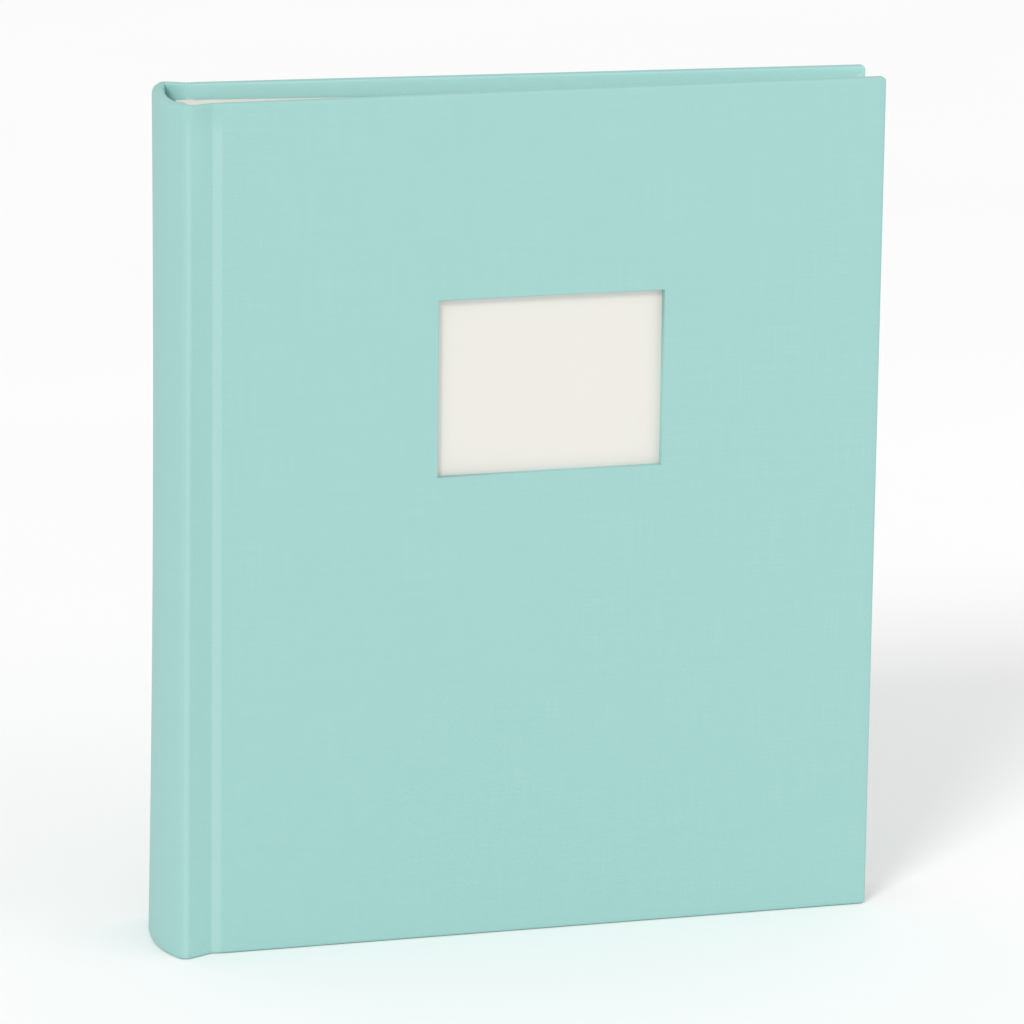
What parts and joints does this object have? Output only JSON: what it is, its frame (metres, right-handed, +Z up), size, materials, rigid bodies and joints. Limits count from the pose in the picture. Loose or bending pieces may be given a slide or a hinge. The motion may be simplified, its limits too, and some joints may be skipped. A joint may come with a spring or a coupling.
{
  "type": "scrapbook album",
  "caption": "Cloth-bound scrapbook album standing upright, with a rounded spine, a label window in its front cover and interleaved card leaves.",
  "frame": {"origin": "middle of the album's footprint, on the surface it stands on", "axes": "+Z up along the spine; +X from the spine to the fore-edge; +Y from the front cover to the back cover"},
  "size_m": [0.22, 0.0444, 0.255],
  "materials": {
    "book_cloth": "matte",
    "greyboard": "matte",
    "inlay_card": "matte",
    "window_card": "matte",
    "endpaper": "matte",
    "leaf_card": "matte",
    "guard_card": "matte",
    "mull": "matte",
    "kraft_lining": "matte"
  },
  "bodies": {
    "spine": {"spine_cloth": "book_cloth", "spine_inlay": "inlay_card", "spine_mull": "mull", "spine_lining": "kraft_lining", "guards": "guard_card", "leaf_margins": "leaf_card", "front_flyleaf_margin": "endpaper", "back_flyleaf_margin": "endpaper"},
    "front_cover": {"front_board": "greyboard", "front_cloth": "book_cloth", "front_pastedown": "endpaper", "window_card": "window_card"},
    "back_cover": {"back_board": "greyboard", "back_cloth": "book_cloth", "back_pastedown": "endpaper"},
    "front_flyleaf": {"front_flyleaf": "endpaper"},
    "leaf_01": {"leaf_01": "leaf_card"},
    "leaf_02": {"leaf_02": "leaf_card"},
    "leaf_03": {"leaf_03": "leaf_card"},
    "leaf_04": {"leaf_04": "leaf_card"},
    "leaf_05": {"leaf_05": "leaf_card"},
    "leaf_06": {"leaf_06": "leaf_card"},
    "leaf_07": {"leaf_07": "leaf_card"},
    "leaf_08": {"leaf_08": "leaf_card"},
    "leaf_09": {"leaf_09": "leaf_card"},
    "leaf_10": {"leaf_10": "leaf_card"},
    "leaf_11": {"leaf_11": "leaf_card"},
    "leaf_12": {"leaf_12": "leaf_card"},
    "leaf_13": {"leaf_13": "leaf_card"},
    "leaf_14": {"leaf_14": "leaf_card"},
    "leaf_15": {"leaf_15": "leaf_card"},
    "leaf_16": {"leaf_16": "leaf_card"},
    "leaf_17": {"leaf_17": "leaf_card"},
    "leaf_18": {"leaf_18": "leaf_card"},
    "leaf_19": {"leaf_19": "leaf_card"},
    "leaf_20": {"leaf_20": "leaf_card"},
    "leaf_21": {"leaf_21": "leaf_card"},
    "leaf_22": {"leaf_22": "leaf_card"},
    "leaf_23": {"leaf_23": "leaf_card"},
    "leaf_24": {"leaf_24": "leaf_card"},
    "leaf_25": {"leaf_25": "leaf_card"},
    "leaf_26": {"leaf_26": "leaf_card"},
    "leaf_27": {"leaf_27": "leaf_card"},
    "leaf_28": {"leaf_28": "leaf_card"},
    "leaf_29": {"leaf_29": "leaf_card"},
    "leaf_30": {"leaf_30": "leaf_card"},
    "leaf_31": {"leaf_31": "leaf_card"},
    "leaf_32": {"leaf_32": "leaf_card"},
    "leaf_33": {"leaf_33": "leaf_card"},
    "leaf_34": {"leaf_34": "leaf_card"},
    "leaf_35": {"leaf_35": "leaf_card"},
    "leaf_36": {"leaf_36": "leaf_card"},
    "leaf_37": {"leaf_37": "leaf_card"},
    "leaf_38": {"leaf_38": "leaf_card"},
    "leaf_39": {"leaf_39": "leaf_card"},
    "leaf_40": {"leaf_40": "leaf_card"},
    "back_flyleaf": {"back_flyleaf": "endpaper"}
  },
  "joints": [
    {"name": "front_cover_hinge", "type": "hinge", "parent": "spine", "child": "front_cover", "pos_m": [-0.0975, -0.0208, 0.1275], "axis": [0, 0, -1], "range_deg": [0, 180], "deforming": ["leaf_margins", "front_flyleaf_margin"]},
    {"name": "back_cover_hinge", "type": "hinge", "parent": "spine", "child": "back_cover", "pos_m": [-0.0975, 0.0208, 0.1275], "axis": [0, 0, 1], "range_deg": [0, 180], "deforming": ["back_flyleaf_margin"]},
    {"name": "front_flyleaf_turn", "type": "hinge", "parent": "spine", "child": "front_flyleaf", "pos_m": [-0.0755, -0.02017, 0.1275], "axis": [0, 0, -1], "range_deg": [0, 175.5]},
    {"name": "leaf_01_turn", "type": "hinge", "parent": "spine", "child": "leaf_01", "pos_m": [-0.0755, -0.01983, 0.1275], "axis": [0, 0, -1], "range_deg": [0, 171.45]},
    {"name": "leaf_02_turn", "type": "hinge", "parent": "spine", "child": "leaf_02", "pos_m": [-0.0755, -0.01938, 0.1275], "axis": [0, 0, -1], "range_deg": [0, 167.4]},
    {"name": "leaf_03_turn", "type": "hinge", "parent": "spine", "child": "leaf_03", "pos_m": [-0.0755, -0.01894, 0.1275], "axis": [0, 0, -1], "range_deg": [0, 163.35]},
    {"name": "leaf_04_turn", "type": "hinge", "parent": "spine", "child": "leaf_04", "pos_m": [-0.0755, -0.01849, 0.1275], "axis": [0, 0, -1], "range_deg": [0, 159.3]},
    {"name": "leaf_05_turn", "type": "hinge", "parent": "spine", "child": "leaf_05", "pos_m": [-0.0755, -0.01804, 0.1275], "axis": [0, 0, -1], "range_deg": [0, 155.25]},
    {"name": "leaf_06_turn", "type": "hinge", "parent": "spine", "child": "leaf_06", "pos_m": [-0.0755, -0.01758, 0.1275], "axis": [0, 0, -1], "range_deg": [0, 151.2]},
    {"name": "leaf_07_turn", "type": "hinge", "parent": "spine", "child": "leaf_07", "pos_m": [-0.0755, -0.01711, 0.1275], "axis": [0, 0, -1], "range_deg": [0, 147.15]},
    {"name": "leaf_08_turn", "type": "hinge", "parent": "spine", "child": "leaf_08", "pos_m": [-0.0755, -0.01664, 0.1275], "axis": [0, 0, -1], "range_deg": [0, 143.1]},
    {"name": "leaf_09_turn", "type": "hinge", "parent": "spine", "child": "leaf_09", "pos_m": [-0.0755, -0.01616, 0.1275], "axis": [0, 0, -1], "range_deg": [0, 139.05]},
    {"name": "leaf_10_turn", "type": "hinge", "parent": "spine", "child": "leaf_10", "pos_m": [-0.0755, -0.01568, 0.1275], "axis": [0, 0, -1], "range_deg": [0, 135]},
    {"name": "leaf_11_turn", "type": "hinge", "parent": "spine", "child": "leaf_11", "pos_m": [-0.0755, -0.01517, 0.1275], "axis": [0, 0, -1], "range_deg": [0, 130.95]},
    {"name": "leaf_12_turn", "type": "hinge", "parent": "spine", "child": "leaf_12", "pos_m": [-0.0755, -0.01464, 0.1275], "axis": [0, 0, -1], "range_deg": [0, 126.9]},
    {"name": "leaf_13_turn", "type": "hinge", "parent": "spine", "child": "leaf_13", "pos_m": [-0.0755, -0.0141, 0.1275], "axis": [0, 0, -1], "range_deg": [0, 122.85]},
    {"name": "leaf_14_turn", "type": "hinge", "parent": "spine", "child": "leaf_14", "pos_m": [-0.0755, -0.01353, 0.1275], "axis": [0, 0, -1], "range_deg": [0, 118.8]},
    {"name": "leaf_15_turn", "type": "hinge", "parent": "spine", "child": "leaf_15", "pos_m": [-0.0755, -0.01294, 0.1275], "axis": [0, 0, -1], "range_deg": [0, 114.75]},
    {"name": "leaf_16_turn", "type": "hinge", "parent": "spine", "child": "leaf_16", "pos_m": [-0.0755, -0.01234, 0.1275], "axis": [0, 0, -1], "range_deg": [0, 110.7]},
    {"name": "leaf_17_turn", "type": "hinge", "parent": "spine", "child": "leaf_17", "pos_m": [-0.0755, -0.01171, 0.1275], "axis": [0, 0, -1], "range_deg": [0, 106.65]},
    {"name": "leaf_18_turn", "type": "hinge", "parent": "spine", "child": "leaf_18", "pos_m": [-0.0755, -0.01105, 0.1275], "axis": [0, 0, -1], "range_deg": [0, 102.6]},
    {"name": "leaf_19_turn", "type": "hinge", "parent": "spine", "child": "leaf_19", "pos_m": [-0.0755, -0.01036, 0.1275], "axis": [0, 0, -1], "range_deg": [0, 98.55]},
    {"name": "leaf_20_turn", "type": "hinge", "parent": "spine", "child": "leaf_20", "pos_m": [-0.0755, -0.00965, 0.1275], "axis": [0, 0, -1], "range_deg": [0, 94.5]},
    {"name": "leaf_21_turn", "type": "hinge", "parent": "spine", "child": "leaf_21", "pos_m": [-0.0755, -0.00891, 0.1275], "axis": [0, 0, -1], "range_deg": [0, 90.45]},
    {"name": "leaf_22_turn", "type": "hinge", "parent": "spine", "child": "leaf_22", "pos_m": [-0.0755, -0.00814, 0.1275], "axis": [0, 0, -1], "range_deg": [0, 86.4]},
    {"name": "leaf_23_turn", "type": "hinge", "parent": "spine", "child": "leaf_23", "pos_m": [-0.0755, -0.00735, 0.1275], "axis": [0, 0, -1], "range_deg": [0, 82.35]},
    {"name": "leaf_24_turn", "type": "hinge", "parent": "spine", "child": "leaf_24", "pos_m": [-0.0755, -0.00653, 0.1275], "axis": [0, 0, -1], "range_deg": [0, 78.3]},
    {"name": "leaf_25_turn", "type": "hinge", "parent": "spine", "child": "leaf_25", "pos_m": [-0.0755, -0.00568, 0.1275], "axis": [0, 0, -1], "range_deg": [0, 74.25]},
    {"name": "leaf_26_turn", "type": "hinge", "parent": "spine", "child": "leaf_26", "pos_m": [-0.0755, -0.00481, 0.1275], "axis": [0, 0, -1], "range_deg": [0, 70.2]},
    {"name": "leaf_27_turn", "type": "hinge", "parent": "spine", "child": "leaf_27", "pos_m": [-0.0755, -0.00391, 0.1275], "axis": [0, 0, -1], "range_deg": [0, 66.15]},
    {"name": "leaf_28_turn", "type": "hinge", "parent": "spine", "child": "leaf_28", "pos_m": [-0.0755, -0.00298, 0.1275], "axis": [0, 0, -1], "range_deg": [0, 62.1]},
    {"name": "leaf_29_turn", "type": "hinge", "parent": "spine", "child": "leaf_29", "pos_m": [-0.0755, -0.00204, 0.1275], "axis": [0, 0, -1], "range_deg": [0, 58.05]},
    {"name": "leaf_30_turn", "type": "hinge", "parent": "spine", "child": "leaf_30", "pos_m": [-0.0755, -0.00109, 0.1275], "axis": [0, 0, -1], "range_deg": [0, 54]},
    {"name": "leaf_31_turn", "type": "hinge", "parent": "spine", "child": "leaf_31", "pos_m": [-0.0755, -0.00012, 0.1275], "axis": [0, 0, -1], "range_deg": [0, 49.95]},
    {"name": "leaf_32_turn", "type": "hinge", "parent": "spine", "child": "leaf_32", "pos_m": [-0.0755, 0.00087, 0.1275], "axis": [0, 0, -1], "range_deg": [0, 45.9]},
    {"name": "leaf_33_turn", "type": "hinge", "parent": "spine", "child": "leaf_33", "pos_m": [-0.0755, 0.00187, 0.1275], "axis": [0, 0, -1], "range_deg": [0, 41.85]},
    {"name": "leaf_34_turn", "type": "hinge", "parent": "spine", "child": "leaf_34", "pos_m": [-0.0755, 0.00289, 0.1275], "axis": [0, 0, -1], "range_deg": [0, 37.8]},
    {"name": "leaf_35_turn", "type": "hinge", "parent": "spine", "child": "leaf_35", "pos_m": [-0.0755, 0.00392, 0.1275], "axis": [0, 0, -1], "range_deg": [0, 33.75]},
    {"name": "leaf_36_turn", "type": "hinge", "parent": "spine", "child": "leaf_36", "pos_m": [-0.0755, 0.00497, 0.1275], "axis": [0, 0, -1], "range_deg": [0, 29.7]},
    {"name": "leaf_37_turn", "type": "hinge", "parent": "spine", "child": "leaf_37", "pos_m": [-0.0755, 0.00603, 0.1275], "axis": [0, 0, -1], "range_deg": [0, 25.65]},
    {"name": "leaf_38_turn", "type": "hinge", "parent": "spine", "child": "leaf_38", "pos_m": [-0.0755, 0.0071, 0.1275], "axis": [0, 0, -1], "range_deg": [0, 21.6]},
    {"name": "leaf_39_turn", "type": "hinge", "parent": "spine", "child": "leaf_39", "pos_m": [-0.0755, 0.00819, 0.1275], "axis": [0, 0, -1], "range_deg": [0, 17.55]},
    {"name": "leaf_40_turn", "type": "hinge", "parent": "spine", "child": "leaf_40", "pos_m": [-0.0755, 0.0093, 0.1275], "axis": [0, 0, -1], "range_deg": [0, 13.5]},
    {"name": "back_flyleaf_turn", "type": "hinge", "parent": "spine", "child": "back_flyleaf", "pos_m": [-0.0755, 0.01737, 0.1275], "axis": [0, 0, 1], "range_deg": [0, 63]}
  ],
  "couplings": [
    {"joint": "front_flyleaf_turn", "follows": "front_cover_hinge", "ratio": 0.975},
    {"joint": "leaf_01_turn", "follows": "front_cover_hinge", "ratio": 0.9525},
    {"joint": "leaf_02_turn", "follows": "front_cover_hinge", "ratio": 0.93},
    {"joint": "leaf_03_turn", "follows": "front_cover_hinge", "ratio": 0.9075},
    {"joint": "leaf_04_turn", "follows": "front_cover_hinge", "ratio": 0.885},
    {"joint": "leaf_05_turn", "follows": "front_cover_hinge", "ratio": 0.8625},
    {"joint": "leaf_06_turn", "follows": "front_cover_hinge", "ratio": 0.84},
    {"joint": "leaf_07_turn", "follows": "front_cover_hinge", "ratio": 0.8175},
    {"joint": "leaf_08_turn", "follows": "front_cover_hinge", "ratio": 0.795},
    {"joint": "leaf_09_turn", "follows": "front_cover_hinge", "ratio": 0.7725},
    {"joint": "leaf_10_turn", "follows": "front_cover_hinge", "ratio": 0.75},
    {"joint": "leaf_11_turn", "follows": "front_cover_hinge", "ratio": 0.7275},
    {"joint": "leaf_12_turn", "follows": "front_cover_hinge", "ratio": 0.705},
    {"joint": "leaf_13_turn", "follows": "front_cover_hinge", "ratio": 0.6825},
    {"joint": "leaf_14_turn", "follows": "front_cover_hinge", "ratio": 0.66},
    {"joint": "leaf_15_turn", "follows": "front_cover_hinge", "ratio": 0.6375},
    {"joint": "leaf_16_turn", "follows": "front_cover_hinge", "ratio": 0.615},
    {"joint": "leaf_17_turn", "follows": "front_cover_hinge", "ratio": 0.5925},
    {"joint": "leaf_18_turn", "follows": "front_cover_hinge", "ratio": 0.57},
    {"joint": "leaf_19_turn", "follows": "front_cover_hinge", "ratio": 0.5475},
    {"joint": "leaf_20_turn", "follows": "front_cover_hinge", "ratio": 0.525},
    {"joint": "leaf_21_turn", "follows": "front_cover_hinge", "ratio": 0.5025},
    {"joint": "leaf_22_turn", "follows": "front_cover_hinge", "ratio": 0.48},
    {"joint": "leaf_23_turn", "follows": "front_cover_hinge", "ratio": 0.4575},
    {"joint": "leaf_24_turn", "follows": "front_cover_hinge", "ratio": 0.435},
    {"joint": "leaf_25_turn", "follows": "front_cover_hinge", "ratio": 0.4125},
    {"joint": "leaf_26_turn", "follows": "front_cover_hinge", "ratio": 0.39},
    {"joint": "leaf_27_turn", "follows": "front_cover_hinge", "ratio": 0.3675},
    {"joint": "leaf_28_turn", "follows": "front_cover_hinge", "ratio": 0.345},
    {"joint": "leaf_29_turn", "follows": "front_cover_hinge", "ratio": 0.3225},
    {"joint": "leaf_30_turn", "follows": "front_cover_hinge", "ratio": 0.3},
    {"joint": "leaf_31_turn", "follows": "front_cover_hinge", "ratio": 0.2775},
    {"joint": "leaf_32_turn", "follows": "front_cover_hinge", "ratio": 0.255},
    {"joint": "leaf_33_turn", "follows": "front_cover_hinge", "ratio": 0.2325},
    {"joint": "leaf_34_turn", "follows": "front_cover_hinge", "ratio": 0.21},
    {"joint": "leaf_35_turn", "follows": "front_cover_hinge", "ratio": 0.1875},
    {"joint": "leaf_36_turn", "follows": "front_cover_hinge", "ratio": 0.165},
    {"joint": "leaf_37_turn", "follows": "front_cover_hinge", "ratio": 0.1425},
    {"joint": "leaf_38_turn", "follows": "front_cover_hinge", "ratio": 0.12},
    {"joint": "leaf_39_turn", "follows": "front_cover_hinge", "ratio": 0.0975},
    {"joint": "leaf_40_turn", "follows": "front_cover_hinge", "ratio": 0.075},
    {"joint": "back_flyleaf_turn", "follows": "back_cover_hinge", "ratio": 0.35}
  ]
}
